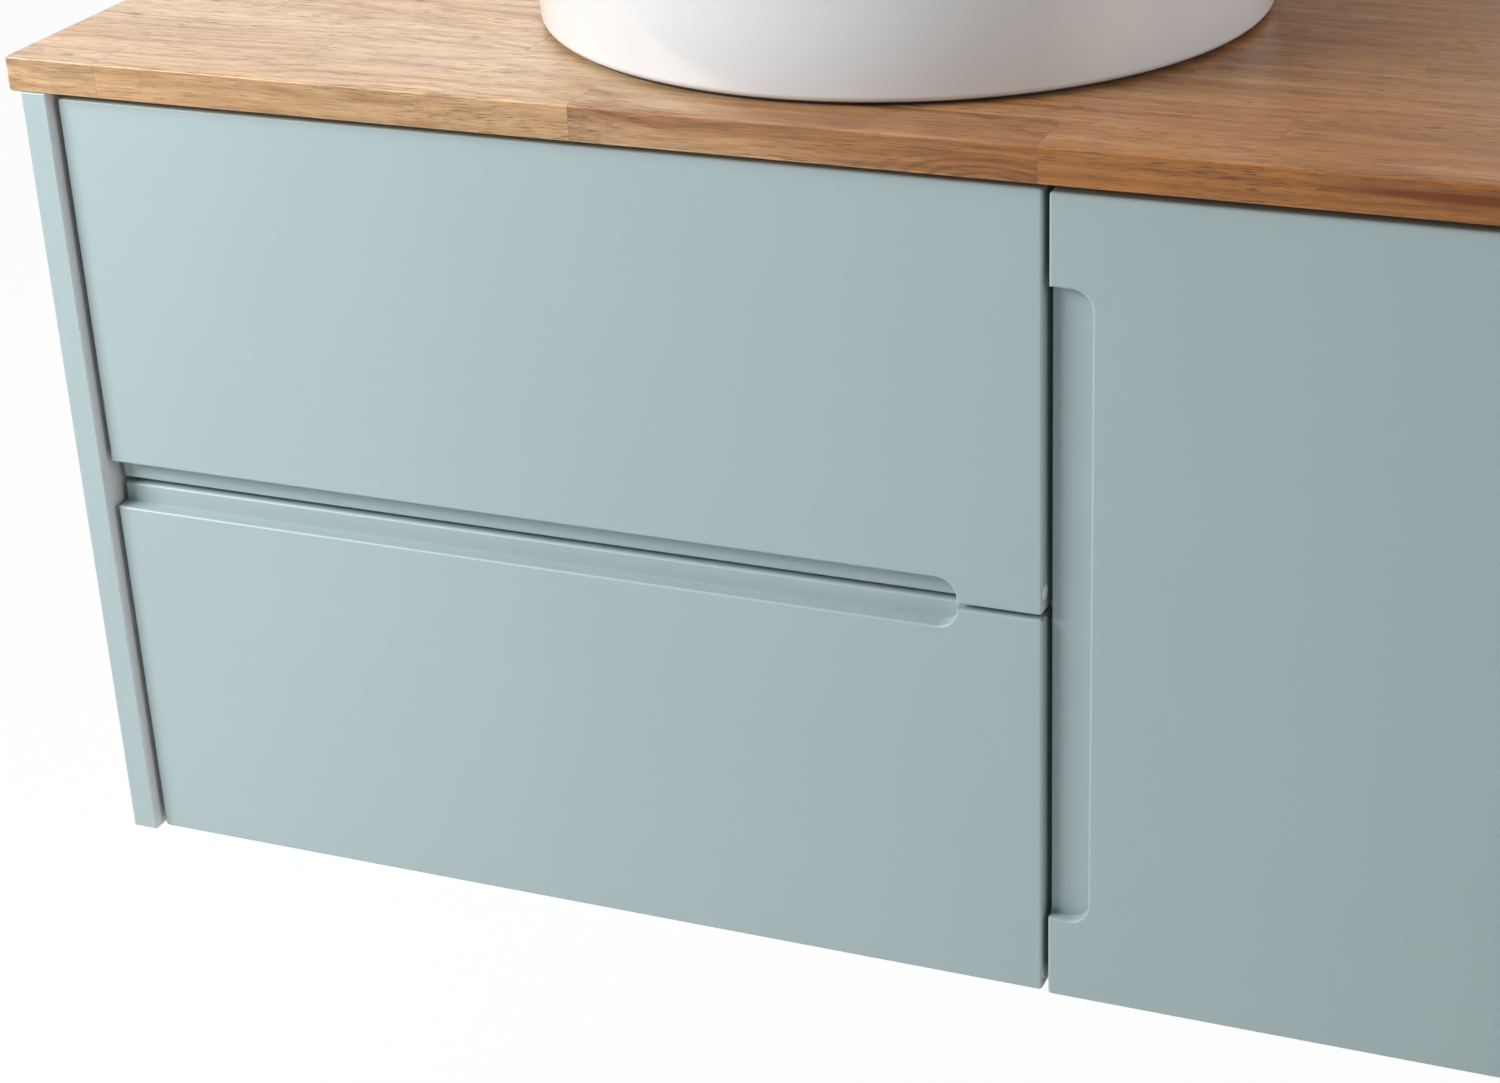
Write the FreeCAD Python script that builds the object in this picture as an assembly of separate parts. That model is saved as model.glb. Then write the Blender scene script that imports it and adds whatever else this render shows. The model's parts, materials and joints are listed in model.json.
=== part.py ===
import FreeCAD, Part
import os
from math import cos, radians, sin

# Wall-hung bathroom vanity with two drawers, a cupboard, a timber benchtop and a round
# vessel basin. Millimetres. X runs along the front and is centred, the wall is the plane
# Y = 0, the front faces -Y, and Z is up. Heights are written from the cabinet's underside,
# and save() moves every piece to the frame whose origin is the centre of the wall fixings.

V = FreeCAD.Vector
X_AXIS = V(1, 0, 0)
Y_AXIS = V(0, 1, 0)
Z_AXIS = V(0, 0, 1)

# ---------------------------------------------------------------- driving dimensions
BENCH_WIDTH = 900.0
BENCH_DEPTH = 460.0
BENCH_THICK = 20.0
BENCH_ROUND = 1.5             # eased edges, except along the wall
BENCH_OVERHANG = 7.5          # benchtop past each side panel
CABINET_HEIGHT = 476.0
BOARD = 16.0                  # carcass board
PANEL_ROUND = 0.8             # eased front edges of the side panels
RAIL_HEIGHT = 90.0            # wall rails
TOP_RAIL_DEPTH = 80.0
BACK_THICK = 4.0
BACK_LAP = 10.0               # back panel over each wall rail

FRONT_THICK = 18.0
FRONT_SETBACK = 6.2           # fronts behind the side panels' front edges
FRONT_ROUND = 1.5             # eased edges of the fronts
FRONT_CORNER = 2.0            # rounded corners of their outlines
REVEAL = 3.2                  # front to side panel
TOP_REVEAL = 4.0              # front to benchtop
COLUMN_GAP = 3.4              # drawers to door
DRAWER_GAP = 3.0              # upper front to lower front
CARCASS_GAP = 1.5             # back of the fronts to the carcass
DOOR_WIDTH = 265.2
LOWER_FRONT_HEIGHT = 233.0
DOOR_DROP = 1.2               # the door hangs this much lower than the drawers

DRAWER_PULL_DEPTH = 10.0
DRAWER_PULL_END = 48.0        # end of the pull to the right edge of the fronts
UPPER_PULL_HEIGHT = 14.0
LOWER_PULL_HEIGHT = 12.0
PULL_RADIUS = 12.0
TONGUE_ROUND = 2.0
DOOR_PULL_DEPTH = 7.5
DOOR_PULL_WIDTH = 23.0
DOOR_PULL_MARGIN = 50.0       # from the door's top and bottom
CAP_RADIUS = 4.2
CAP_DEPTH = 3.0
CAP_STAND = 0.4
CAP_SETBACK = 5.0             # cap centre behind the front's face
UPPER_CAP_HEIGHT = 12.0       # cap centre above the front's bottom edge
LOWER_CAP_HEIGHT = 10.0

BOX_HEIGHT = 120.0            # drawer boxes, behind the fronts
BOX_LENGTH = 350.0
BOX_LIFT = 22.0               # drawer box above the bottom edge of its front
BASE_THICK = 8.0
BASE_LIFT = 10.0
GROOVE = 6.0
CUTOUT_WIDTH = 120.0          # plumbing cut-out in the upper drawer
CUTOUT_REACH = 76.0           # from the basin's centre forward
FRONT_SCREW_INSET = 70.0      # from the box's outer faces
FRONT_SCREW_EDGE = 30.0       # from the box's top and bottom
FRONT_SCREW_BITE = 12.0

RUNNER_DEPTH = 12.7
RUNNER_HEIGHT = 45.0
RUNNER_STEEL = 1.2
RUNNER_PLAY = 0.5             # running gap between nested members
CABINET_LIP = 9.5             # depth of each member's lips, from the cabinet's wall
SLIDER_LIP = (2.4, 10.0)
SLIDER_WEB = 4.0
BOX_LIP = 6.0
RUNNER_SCREW_PLACES = (50.0, 280.0)
PANEL_SCREW_LENGTH = 13.0
PARTITION_SCREW_LENGTH = 8.0

BASIN_RADIUS = 208.0
BASIN_HEIGHT = 135.0
BASIN_WALL = 9.0
BASIN_FOOT_ROUND = 8.0
BASIN_BOWL_ROUND = 40.0
BASIN_FLOOR = 20.0            # floor thickness where it meets the wall
BASIN_DRAIN_FLOOR = 15.0      # floor thickness at the drain
BASIN_SETBACK = 236.0         # basin centre behind the bench's front edge
SEAL_INSET = 23.0             # seal ring inside the basin's outline
SEAL_WIDTH = 8.0
SEAL_GROOVE = 2.0

FLANGE_RIM = 10.0             # flange past the waste's thread
FLANGE_THICK = 3.0
WASTE_RADIUS = 22.0
WASTE_WALL = 3.0
WASTE_CLEARANCE = 1.0
WASTE_LENGTH = 92.0
SEAL_RIM = 16.0
NUT_RIM = 12.0                # corners of the back nut past the thread
STEM_RADIUS = 4.0
STEM_PLAY = 0.05
STEM_LENGTH = 46.0
PLUG_THICK = 5.0
PLUG_ROUND = 2.0
PLUG_INSET = 1.0              # plug inside the flange's rim
PLUG_LIFT = 0.3
CARTRIDGE_LENGTH = 26.0
CARTRIDGE_HUB = 3.0
CARTRIDGE_SPOKES = 3
SPOKE_THICK = 3.0
STEM_START = 2.0              # stem's end above the foot of its guide
SEAL_THICK = 3.0
NUT_HEIGHT = 10.0

PIPE_RADIUS = 16.0
PIPE_WALL = 2.0
TRAP_RADIUS = 30.0
TRAP_WALL = 3.0
TRAP_DROP = 27.0              # top of the trap below the end of the waste
TRAP_HEIGHT = 96.0
OUTLET_DROP = 42.0            # outlet's axis below the top of the trap
TAIL_LIFT = 30.0              # end of the tailpiece above the trap's bottom
TAIL_COLLAR = 4.0
INLET_NUT_RIM = 6.0
INLET_NUT_LIP = 5.0
INLET_NUT_LENGTH = 26.0
CUP_HEIGHT = 22.0
STUB_LENGTH = 22.0            # outlet socket past the trap's wall
OUTLET_NUT_GAP = 8.0
OUTLET_NUT_RIM = 5.0
OUTLET_NUT_LENGTH = 14.0
OUTLET_NUT_LIP = 5.0
PIPE_STEP = 1.0               # the pipe is this much thicker up to its free end
PIPE_END_GAP = 10.0           # free end of the outlet pipe to the wall
PIPE_FREE_LENGTH = 90.0

HINGE_LENGTH = 60.0
HINGE_INSET = 70.0            # hinge to the door's top or bottom
LEAF_THICK = 1.2
KNUCKLE_RADIUS = 2.4
KNUCKLES = 5
KNUCKLE_PLAY = 0.15
PIN_RADIUS = 1.2
PIN_PLAY = 0.05
HINGE_SCREW_RADIUS = 1.4
HINGE_SCREW_HEAD = 2.6
HINGE_SCREW_LENGTH = 13.0
LEAF_MARGIN = 1.0             # leaf to the back of the door
PIN_CLEARANCE = 0.1           # knuckle to the side panel
KNUCKLE_STAND = 0.2           # knuckle in front of the door's face

DOWEL_RADIUS = 4.0
DOWEL_IN_PANEL = 10.0
DOWEL_IN_END = 20.0
SCREW_RADIUS = 2.0
SCREW_HEAD_RADIUS = 4.0
SCREW_HEAD_THICK = 1.6
WALL_HOLE_RADIUS = 4.5
WALL_HOLE_X = 300.0
BOTTOM_DOWELS = (60.0, 374.0) # behind the carcass's front edge
BENCH_SCREW_X = (60.0, 330.0)
BENCH_SCREW_BITE = 14.0
SHELF_HEIGHT = 230.0
SHELF_SETBACK = 34.0          # shelf behind the carcass's front edge
SHELF_PLAY = 0.5
PIN_HOLE_RADIUS = 2.5
PIN_HOLE_DEPTH = 8.0
PIN_REACH = 8.0
PIN_INSET_FRONT = 40.0        # shelf pins behind the shelf's front edge
PIN_INSET_BACK = 60.0         # and in front of the wall rails
BUMPER_RADIUS = 4.0
BUMPER_PLAY = 0.1
BUMPER_INSET = (30.0, 40.0)   # from the free edges of the door and of the drawers

OVERCUT = 5.0                 # how far a cutting shape runs past the piece it cuts

# ---------------------------------------------------------------- derived places
FRONT_Y = -BENCH_DEPTH + FRONT_SETBACK
FRONT_BACK_Y = FRONT_Y + FRONT_THICK
CARCASS_Y = FRONT_BACK_Y + CARCASS_GAP
OUTER_X = BENCH_WIDTH / 2 - BENCH_OVERHANG
INNER_X = OUTER_X - BOARD
RAIL_Y = -BOARD                                   # front face of the wall rails
TOP_RAIL_Z = CABINET_HEIGHT - BOARD
UPPER_RAIL_Z = CABINET_HEIGHT - RAIL_HEIGHT
LOWER_RAIL_Z = BOARD
ORIGIN_HEIGHT = (UPPER_RAIL_Z + LOWER_RAIL_Z + RAIL_HEIGHT) / 2

FRONTS_TOP = CABINET_HEIGHT - TOP_REVEAL
DRAWER_X0 = -INNER_X + REVEAL
DOOR_X1 = INNER_X - REVEAL
DOOR_X0 = DOOR_X1 - DOOR_WIDTH
DRAWER_X1 = DOOR_X0 - COLUMN_GAP
UPPER_FRONT_Z = LOWER_FRONT_HEIGHT + DRAWER_GAP
DOOR_Z0 = -DOOR_DROP
DOOR_Z1 = FRONTS_TOP - DOOR_DROP
PARTITION_X = (DRAWER_X1 + DOOR_X0) / 2
PARTITION_X0 = PARTITION_X - BOARD / 2
PARTITION_X1 = PARTITION_X + BOARD / 2

BOX_X0 = -INNER_X + RUNNER_DEPTH
BOX_X1 = PARTITION_X0 - RUNNER_DEPTH
BOX_Y1 = FRONT_BACK_Y + BOX_LENGTH
BASIN_Y = -BENCH_DEPTH + BASIN_SETBACK
BENCH_TOP = CABINET_HEIGHT + BENCH_THICK
DRAIN_Z = BENCH_TOP + BASIN_DRAIN_FLOOR
WASTE_END = DRAIN_Z - WASTE_LENGTH
CUTOUT_FRONT = BASIN_Y - CUTOUT_REACH
SEAL_RADIUS = BASIN_RADIUS - SEAL_INSET
FLANGE_RADIUS = WASTE_RADIUS + FLANGE_RIM
NUT_RADIUS = WASTE_RADIUS + NUT_RIM
TRAP_TOP = WASTE_END - TRAP_DROP
TRAP_BOTTOM = TRAP_TOP - TRAP_HEIGHT
OUTLET_HEIGHT = TRAP_TOP - OUTLET_DROP


# ---------------------------------------------------------------- helpers
def block(x0, x1, y0, y1, z0, z1):
    return Part.makeBox(x1 - x0, y1 - y0, z1 - z0, V(x0, y0, z0))


def rod(radius, start, axis, length):
    return Part.makeCylinder(radius, length, start, axis)


def ring(outer, inner, start, axis, length):
    return rod(outer, start, axis, length).cut(rod(inner, start, axis, length))


def hexagon(radius, centre, height):
    corners = [centre + V(radius * cos(radians(60 * k)), radius * sin(radians(60 * k)), 0)
               for k in range(7)]
    return Part.Face(Part.makePolygon(corners)).extrude(V(0, 0, height))


def screw(head, axis, length):
    """A pan-head screw: its head sits at the point and its shank runs along the axis."""
    shank = rod(SCREW_RADIUS, head, axis, length)
    return shank.fuse(rod(SCREW_HEAD_RADIUS, head - axis * SCREW_HEAD_THICK, axis,
                          SCREW_HEAD_THICK))


def without(shape, tools):
    return shape.cut(list(tools)) if tools else shape


def rounded_plate(x0, x1, z0, z1, y0, y1, radius):
    """A plate across the front, with its four corners rounded."""
    plate = block(x0, x1, y0, y1, z0, z1)
    return plate.makeFillet(radius, [e for e in plate.Edges if runs_along(e, Y_AXIS)])


def runs_along(edge, axis):
    a = edge.Vertexes[0].Point
    b = edge.Vertexes[-1].Point
    return (b - a).cross(axis).Length < 1e-6 < (b - a).Length


def edges_on_y(shape, y):
    return [e for e in shape.Edges if all(abs(v.Point.y - y) < 1e-6 for v in e.Vertexes)
            and abs(e.CenterOfMass.y - y) < 1e-6]


def on_front_face(shape):
    return shape.makeFillet(FRONT_ROUND, edges_on_y(shape, FRONT_Y))


def save(name, shape):
    solids = shape.Solids
    piece = solids[0] if len(solids) == 1 else Part.makeCompound(solids)
    piece.translate(V(0, 0, -ORIGIN_HEIGHT))
    piece.exportStep("parts/" + name + ".step")


# ---------------------------------------------------------------- carcass
def carcass_dowels():
    """Dowels in the ends of every board that butts against a panel."""
    dowels = []
    rail_mid_y = CARCASS_Y + TOP_RAIL_DEPTH / 2
    back_mid_y = RAIL_Y - TOP_RAIL_DEPTH / 2
    ends = [(CARCASS_Y + inset, BOARD / 2) for inset in BOTTOM_DOWELS]
    ends += [(y, TOP_RAIL_Z + BOARD / 2) for y in (rail_mid_y, back_mid_y)]
    ends += [(RAIL_Y / 2, z + RAIL_HEIGHT * share) for z in (UPPER_RAIL_Z, LOWER_RAIL_Z)
             for share in (0.25, 0.75)]
    length = DOWEL_IN_PANEL + DOWEL_IN_END
    for y, z in ends:
        dowels.append(rod(DOWEL_RADIUS, V(-INNER_X - DOWEL_IN_PANEL, y, z), X_AXIS, length))
        dowels.append(rod(DOWEL_RADIUS, V(INNER_X + DOWEL_IN_PANEL, y, z), -X_AXIS, length))
    for y in (rail_mid_y, back_mid_y):
        foot = V(PARTITION_X, y, BOARD - DOWEL_IN_PANEL)
        head = V(PARTITION_X, y, TOP_RAIL_Z + DOWEL_IN_PANEL)
        dowels.append(rod(DOWEL_RADIUS, foot, Z_AXIS, length))
        dowels.append(rod(DOWEL_RADIUS, head, -Z_AXIS, length))
    return dowels


def bench_screws():
    """Screws up through the top rails into the benchtop."""
    spots = [(side * x, y) for side in (-1, 1) for x in BENCH_SCREW_X
             for y in (CARCASS_Y + TOP_RAIL_DEPTH / 2, RAIL_Y - TOP_RAIL_DEPTH / 2)]
    return [screw(V(x, y, TOP_RAIL_Z), Z_AXIS, BOARD + BENCH_SCREW_BITE) for x, y in spots]


def shelf_pins():
    pins = []
    length = PIN_HOLE_DEPTH + PIN_REACH
    for y in (CARCASS_Y + SHELF_SETBACK + PIN_INSET_FRONT, RAIL_Y - PIN_INSET_BACK):
        z = SHELF_HEIGHT - PIN_HOLE_RADIUS
        pins.append(rod(PIN_HOLE_RADIUS, V(PARTITION_X1 - PIN_HOLE_DEPTH, y, z), X_AXIS, length))
        pins.append(rod(PIN_HOLE_RADIUS, V(INNER_X + PIN_HOLE_DEPTH, y, z), -X_AXIS, length))
    return pins


def wall_hole_tools():
    return [rod(WALL_HOLE_RADIUS, V(x, RAIL_Y - 1, z + RAIL_HEIGHT / 2), Y_AXIS, BOARD + 2)
            for x in (-WALL_HOLE_X, WALL_HOLE_X) for z in (UPPER_RAIL_Z, LOWER_RAIL_Z)]


def bumpers():
    """Clear discs on the carcass's front edges that the fronts close against."""
    door_inset, drawer_inset = BUMPER_INSET
    spots = [(x, z) for z in (TOP_RAIL_Z + BOARD / 2, BOARD / 2)
             for x in (DOOR_X0 + door_inset, DRAWER_X0 + drawer_inset, DRAWER_X1 - drawer_inset)]
    return [rod(BUMPER_RADIUS, V(x, CARCASS_Y, z), -Y_AXIS, CARCASS_GAP - BUMPER_PLAY)
            for x, z in spots]


def build_carcass(dowels, pins, runner_screws, hinge_screws):
    left = block(-OUTER_X, -INNER_X, -BENCH_DEPTH, 0, 0, CABINET_HEIGHT)
    right = block(INNER_X, OUTER_X, -BENCH_DEPTH, 0, 0, CABINET_HEIGHT)
    left = left.makeFillet(PANEL_ROUND, edges_on_y(left, -BENCH_DEPTH))
    right = right.makeFillet(PANEL_ROUND, edges_on_y(right, -BENCH_DEPTH))
    save("side_panel_left", without(left, dowels + runner_screws))
    save("side_panel_right", without(right, dowels + pins + hinge_screws))
    partition = block(PARTITION_X0, PARTITION_X1, CARCASS_Y, RAIL_Y, BOARD, TOP_RAIL_Z)
    save("centre_partition", without(partition, dowels + pins + runner_screws))
    save("bottom_panel", without(block(-INNER_X, INNER_X, CARCASS_Y, 0, 0, BOARD), dowels))

    top_tools = dowels + bench_screws()
    front_rail = block(-INNER_X, INNER_X, CARCASS_Y, CARCASS_Y + TOP_RAIL_DEPTH,
                       TOP_RAIL_Z, CABINET_HEIGHT)
    back_rail = block(-INNER_X, INNER_X, RAIL_Y - TOP_RAIL_DEPTH, RAIL_Y,
                      TOP_RAIL_Z, CABINET_HEIGHT)
    save("top_rail_front", without(front_rail, top_tools))
    save("top_rail_back", without(back_rail, top_tools))

    for name, z in (("hanging_rail", UPPER_RAIL_Z), ("lower_back_rail", LOWER_RAIL_Z)):
        rail = block(-INNER_X, INNER_X, RAIL_Y, 0, z, z + RAIL_HEIGHT)
        save(name, without(rail, dowels + wall_hole_tools()))
    back = block(PARTITION_X1, INNER_X, RAIL_Y - BACK_THICK, RAIL_Y,
                 LOWER_RAIL_Z + RAIL_HEIGHT - BACK_LAP, UPPER_RAIL_Z + BACK_LAP)
    save("cupboard_back_panel", back)
    shelf = block(PARTITION_X1 + SHELF_PLAY, INNER_X - SHELF_PLAY, CARCASS_Y + SHELF_SETBACK,
                  RAIL_Y - BACK_THICK - SHELF_PLAY, SHELF_HEIGHT, SHELF_HEIGHT + BOARD)
    save("cupboard_shelf", shelf)
    save("shelf_pins", Part.makeCompound(pins))
    save("carcass_dowels", Part.makeCompound(dowels))
    save("bumpers", Part.makeCompound(bumpers()))


def build_bench():
    bench = block(-BENCH_WIDTH / 2, BENCH_WIDTH / 2, -BENCH_DEPTH, 0, CABINET_HEIGHT, BENCH_TOP)
    bench = bench.makeFillet(BENCH_ROUND, [e for e in bench.Edges if e.CenterOfMass.y < -1e-6])
    hole = rod(WASTE_RADIUS + WASTE_CLEARANCE, V(0, BASIN_Y, CABINET_HEIGHT - 1), Z_AXIS,
               BENCH_THICK + 2)
    save("benchtop", without(bench, [hole] + bench_screws()))
    save("bench_screws", Part.makeCompound(bench_screws()))


# ---------------------------------------------------------------- basin, waste and trap
def basin_arc(centre_r, centre_z, radius, start, end):
    """An arc of the basin's section, in radius and height, from one angle to another."""
    points = []
    for angle in (start, (start + end) / 2, end):
        points.append(V(centre_r + radius * cos(radians(angle)), 0,
                        centre_z + radius * sin(radians(angle))))
    return Part.Arc(*points).toShape()


def build_basin():
    rim = BASIN_WALL / 2
    bowl = BASIN_RADIUS - BASIN_WALL
    hole = WASTE_RADIUS + WASTE_CLEARANCE
    step = BASIN_DRAIN_FLOOR - FLANGE_THICK
    seat = FLANGE_RADIUS + WASTE_CLEARANCE
    foot = basin_arc(BASIN_RADIUS - BASIN_FOOT_ROUND, BASIN_FOOT_ROUND, BASIN_FOOT_ROUND, -90, 0)
    lip = basin_arc(BASIN_RADIUS - rim, BASIN_HEIGHT - rim, rim, 0, 180)
    cove = basin_arc(bowl - BASIN_BOWL_ROUND, BASIN_FLOOR + BASIN_BOWL_ROUND,
                     BASIN_BOWL_ROUND, 0, -90)
    stops = [V(seat, 0, BASIN_DRAIN_FLOOR), V(seat, 0, step), V(hole, 0, step), V(hole, 0, 0)]
    edges = [foot, Part.makeLine(foot.Vertexes[-1].Point, lip.Vertexes[0].Point), lip,
             Part.makeLine(lip.Vertexes[-1].Point, cove.Vertexes[0].Point), cove,
             Part.makeLine(cove.Vertexes[-1].Point, stops[0])]
    edges += [Part.makeLine(a, b) for a, b in zip(stops, stops[1:])]
    edges.append(Part.makeLine(stops[-1], foot.Vertexes[0].Point))
    basin = Part.Face(Part.Wire(edges)).revolve(V(0, 0, 0), Z_AXIS, 360)
    basin.translate(V(0, BASIN_Y, BENCH_TOP))
    seal = ring(SEAL_RADIUS, SEAL_RADIUS - SEAL_WIDTH, V(0, BASIN_Y, BENCH_TOP), Z_AXIS,
                SEAL_GROOVE)
    save("basin", basin.cut(seal))
    save("basin_seal", seal)


def build_waste():
    centre = V(0, BASIN_Y, 0)
    bore = WASTE_RADIUS - WASTE_WALL
    flange = ring(FLANGE_RADIUS, bore, centre + V(0, 0, DRAIN_Z - FLANGE_THICK), Z_AXIS,
                  FLANGE_THICK)
    neck = ring(WASTE_RADIUS, bore, centre + V(0, 0, WASTE_END), Z_AXIS, WASTE_LENGTH)
    save("waste_body", flange.fuse(neck))
    under = centre + V(0, 0, CABINET_HEIGHT - SEAL_THICK)
    save("waste_seal", ring(WASTE_RADIUS + SEAL_RIM, WASTE_RADIUS, under, Z_AXIS, SEAL_THICK))
    nut = hexagon(NUT_RADIUS, under - V(0, 0, NUT_HEIGHT), NUT_HEIGHT)
    save("waste_nut", nut.cut(rod(WASTE_RADIUS, under - V(0, 0, NUT_HEIGHT), Z_AXIS, NUT_HEIGHT)))

    guide = centre + V(0, 0, DRAIN_Z - FLANGE_THICK - STEM_LENGTH)
    spokes = [block(0, bore, -SPOKE_THICK / 2, SPOKE_THICK / 2, 0, CARTRIDGE_LENGTH)
              for _ in range(CARTRIDGE_SPOKES)]
    for number, spoke in enumerate(spokes):
        spoke.rotate(V(0, 0, 0), Z_AXIS, 360 / CARTRIDGE_SPOKES * number)
        spoke.translate(guide)
    hub = rod(STEM_RADIUS + CARTRIDGE_HUB, guide, Z_AXIS, CARTRIDGE_LENGTH)
    cartridge = hub.fuse(spokes).common(rod(bore, guide, Z_AXIS, CARTRIDGE_LENGTH))
    save("waste_cartridge", cartridge.cut(rod(STEM_RADIUS + STEM_PLAY, guide, Z_AXIS,
                                              CARTRIDGE_LENGTH)))
    cap_foot = centre + V(0, 0, DRAIN_Z + PLUG_LIFT)
    cap = rod(FLANGE_RADIUS - PLUG_INSET, cap_foot, Z_AXIS, PLUG_THICK)
    top = cap_foot.z + PLUG_THICK
    rim = [e for e in cap.Edges if abs(e.CenterOfMass.z - top) < 1e-6]
    cap = cap.makeFillet(PLUG_ROUND, rim)
    stem_foot = guide + V(0, 0, STEM_START)
    stem = rod(STEM_RADIUS, stem_foot, Z_AXIS, cap_foot.z - stem_foot.z)
    save("waste_plug", cap.fuse(stem))


def build_trap():
    centre = V(0, BASIN_Y, 0)
    bore = PIPE_RADIUS - PIPE_WALL
    tail_foot = TRAP_BOTTOM + TAIL_LIFT
    tail = ring(PIPE_RADIUS, bore, centre + V(0, 0, tail_foot), Z_AXIS, WASTE_END - tail_foot)
    collar = ring(WASTE_RADIUS - 1, bore, centre + V(0, 0, WASTE_END - TAIL_COLLAR), Z_AXIS,
                  TAIL_COLLAR)
    save("trap_tailpiece", tail.fuse(collar))
    nut_foot = centre + V(0, 0, WASTE_END - TAIL_COLLAR - INLET_NUT_LIP)
    nut = ring(WASTE_RADIUS + INLET_NUT_RIM, PIPE_RADIUS, nut_foot, Z_AXIS, INLET_NUT_LENGTH)
    save("trap_inlet_nut", nut.cut(rod(WASTE_RADIUS, nut_foot + V(0, 0, INLET_NUT_LIP), Z_AXIS,
                                       INLET_NUT_LENGTH)))

    foot = centre + V(0, 0, TRAP_BOTTOM)
    outlet = V(0, BASIN_Y, OUTLET_HEIGHT)
    reach = TRAP_RADIUS + STUB_LENGTH
    socket = PIPE_RADIUS + TRAP_WALL
    body = rod(TRAP_RADIUS, foot, Z_AXIS, TRAP_HEIGHT).fuse(rod(socket, outlet, Y_AXIS, reach))
    body = body.cut([rod(TRAP_RADIUS - TRAP_WALL, foot, Z_AXIS, TRAP_HEIGHT - TRAP_WALL),
                     rod(PIPE_RADIUS, outlet, Y_AXIS, reach),
                     rod(PIPE_RADIUS, foot, Z_AXIS, TRAP_HEIGHT)])
    save("trap_body", body)
    cup = rod(TRAP_RADIUS + TRAP_WALL, foot - V(0, 0, TRAP_WALL), Z_AXIS, CUP_HEIGHT)
    save("trap_cup", cup.cut(rod(TRAP_RADIUS, foot, Z_AXIS, CUP_HEIGHT)))

    nut_start = outlet + V(0, TRAP_RADIUS + OUTLET_NUT_GAP, 0)
    lip_start = nut_start + V(0, OUTLET_NUT_LENGTH, 0)
    shell = ring(socket + OUTLET_NUT_RIM, socket, nut_start, Y_AXIS, OUTLET_NUT_LENGTH)
    lip = ring(socket + OUTLET_NUT_RIM, PIPE_RADIUS + PIPE_STEP, lip_start, Y_AXIS, OUTLET_NUT_LIP)
    save("trap_outlet_nut", shell.fuse(lip))
    start = outlet + V(0, reach, 0)
    free_start = V(0, -PIPE_END_GAP - PIPE_FREE_LENGTH, OUTLET_HEIGHT)
    pipe = rod(PIPE_RADIUS + PIPE_STEP, start, Y_AXIS, free_start.y - start.y)
    pipe = pipe.fuse(rod(PIPE_RADIUS, free_start, Y_AXIS, PIPE_FREE_LENGTH))
    save("trap_outlet_pipe", pipe.cut(rod(bore, start, Y_AXIS, -PIPE_END_GAP - start.y)))


# ---------------------------------------------------------------- drawers
def runner_screw_list():
    """Two screws in each cabinet member, into the side panel or the partition."""
    screws = []
    for bottom in (0.0, UPPER_FRONT_Z):
        z = runner_height(bottom)
        for y in [CARCASS_Y + place for place in RUNNER_SCREW_PLACES]:
            screws.append(screw(V(-INNER_X + RUNNER_STEEL, y, z), -X_AXIS, PANEL_SCREW_LENGTH))
            screws.append(screw(V(PARTITION_X0 - RUNNER_STEEL, y, z), X_AXIS,
                                PARTITION_SCREW_LENGTH))
    return screws


def runner_height(front_bottom):
    return front_bottom + BOX_LIFT + BOX_HEIGHT / 2


def channel(depth0, depth1, half_height, web_at, length, y0, z):
    """A C section, written from the cabinet wall inwards, with its web at one depth."""
    steel = RUNNER_STEEL
    flanges = [block(depth0, depth1, y0, y0 + length, z + side * half_height - (side > 0) * steel,
                     z + side * half_height + (side < 0) * steel) for side in (-1, 1)]
    web = block(web_at, web_at + steel, y0, y0 + length, z - half_height, z + half_height)
    return web.fuse(flanges)


def runner_pair(section):
    """The same section at the left wall, and mirrored at the partition."""
    left = section.copy()
    left.translate(V(-INNER_X, 0, 0))
    right = section.mirror(V(0, 0, 0), X_AXIS)
    right.translate(V(PARTITION_X0, 0, 0))
    return Part.makeCompound([left, right])


def build_runners(level, front_bottom, screws):
    z = runner_height(front_bottom)
    half = RUNNER_HEIGHT / 2
    middle = half - RUNNER_STEEL - RUNNER_PLAY
    inner = middle - RUNNER_STEEL - RUNNER_PLAY
    y0 = CARCASS_Y
    length = BOX_LENGTH - CARCASS_GAP
    cabinet = runner_pair(channel(0, CABINET_LIP, half, 0, length, y0, z))
    save(level + "_runner_cabinet_members", without(cabinet, screws))
    slider = channel(*SLIDER_LIP, middle, SLIDER_WEB, length, y0, z)
    save(level + "_runner_sliders", runner_pair(slider))
    carried = channel(BOX_LIP, RUNNER_DEPTH, inner, RUNNER_DEPTH - RUNNER_STEEL, length, y0, z)
    save(level + "_runner_box_members", runner_pair(carried))


def front_screws(z):
    """Screws from inside the box into the drawer's front."""
    inner_face = FRONT_BACK_Y + BOARD
    return [screw(V(x, inner_face, z + h), -Y_AXIS, BOARD + FRONT_SCREW_BITE)
            for x in (BOX_X0 + FRONT_SCREW_INSET, BOX_X1 - FRONT_SCREW_INSET)
            for h in (FRONT_SCREW_EDGE, BOX_HEIGHT - FRONT_SCREW_EDGE)]


def edge_cap(front_bottom, height):
    centre = V(DRAWER_X1 - CAP_DEPTH, FRONT_Y + CAP_SETBACK, front_bottom + height)
    return rod(CAP_RADIUS, centre, X_AXIS, CAP_DEPTH + CAP_STAND)


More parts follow.
